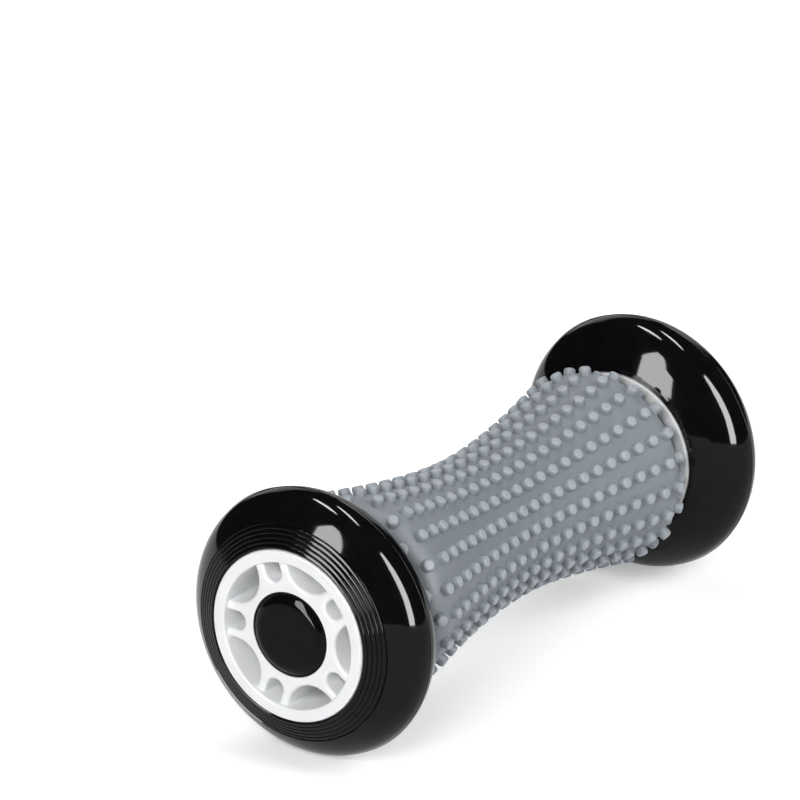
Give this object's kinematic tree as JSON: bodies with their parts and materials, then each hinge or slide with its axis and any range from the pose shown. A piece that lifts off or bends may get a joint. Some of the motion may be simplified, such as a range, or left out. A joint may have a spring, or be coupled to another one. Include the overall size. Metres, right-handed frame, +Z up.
{
  "type": "spiky massage roller",
  "caption": "Hourglass massage roller with a studded grey rubber sleeve between two free-turning black wheels with spoked white hubs.",
  "frame": {"origin": "middle of the roller, on the axle's line", "axes": "+Y along the axle towards the right wheel, +Z up"},
  "size_m": [0.0696, 0.171, 0.0696],
  "materials": {
    "sleeve_rubber": "satin blue-grey moulded rubber",
    "tyre_rubber": "glossy black moulded urethane",
    "hub_shell": "satin white moulded plastic",
    "cap_gloss": "polished black plastic",
    "core_shell": "dark grey moulded plastic",
    "bearing_steel": "ground and polished bearing steel",
    "cage_brass": "pressed brass with steel balls",
    "zinc_steel": "zinc plated turned steel",
    "screw_steel": "black oxide steel"
  },
  "bodies": {
    "barrel": {"spiky_sleeve": "sleeve_rubber", "core_half_upper": "core_shell", "core_half_lower": "core_shell", "axle_rod": "zinc_steel", "barrel_end_plug_left": "core_shell", "barrel_end_plug_right": "core_shell", "distance_collar_left": "zinc_steel", "distance_collar_right": "zinc_steel", "race_spacer_left": "zinc_steel", "race_spacer_right": "zinc_steel", "axle_washer_left": "zinc_steel", "axle_washer_right": "zinc_steel", "axle_screw_left": "screw_steel", "axle_screw_right": "screw_steel", "bearing_inner_race_left_inboard": "bearing_steel", "bearing_inner_race_left_outboard": "bearing_steel", "bearing_inner_race_right_inboard": "bearing_steel", "bearing_inner_race_right_outboard": "bearing_steel"},
    "left_wheel": {"tyre_left": "tyre_rubber", "wheel_hub_left": "hub_shell", "hub_cap_left": "cap_gloss", "bearing_outer_race_left_inboard": "bearing_steel", "bearing_outer_race_left_outboard": "bearing_steel"},
    "right_wheel": {"tyre_right": "tyre_rubber", "wheel_hub_right": "hub_shell", "hub_cap_right": "cap_gloss", "bearing_outer_race_right_inboard": "bearing_steel", "bearing_outer_race_right_outboard": "bearing_steel"},
    "left_ball_cages": {"ball_cage_left_inboard": "cage_brass", "ball_cage_left_outboard": "cage_brass"},
    "right_ball_cages": {"ball_cage_right_inboard": "cage_brass", "ball_cage_right_outboard": "cage_brass"}
  },
  "joints": [
    {"name": "left_wheel_spin", "type": "hinge", "parent": "barrel", "child": "left_wheel", "pos_m": [0, -0.0738, 0], "axis": [0, 1, 0], "continuous": true},
    {"name": "right_wheel_spin", "type": "hinge", "parent": "barrel", "child": "right_wheel", "pos_m": [0, 0.0738, 0], "axis": [0, 1, 0], "continuous": true},
    {"name": "left_cage_spin", "type": "hinge", "parent": "barrel", "child": "left_ball_cages", "pos_m": [0, -0.0709, 0], "axis": [0, 1, 0], "continuous": true},
    {"name": "right_cage_spin", "type": "hinge", "parent": "barrel", "child": "right_ball_cages", "pos_m": [0, 0.0709, 0], "axis": [0, 1, 0], "continuous": true}
  ],
  "couplings": [
    {"joint": "left_cage_spin", "follows": "left_wheel_spin", "ratio": 0.6333},
    {"joint": "right_cage_spin", "follows": "right_wheel_spin", "ratio": 0.6333}
  ]
}
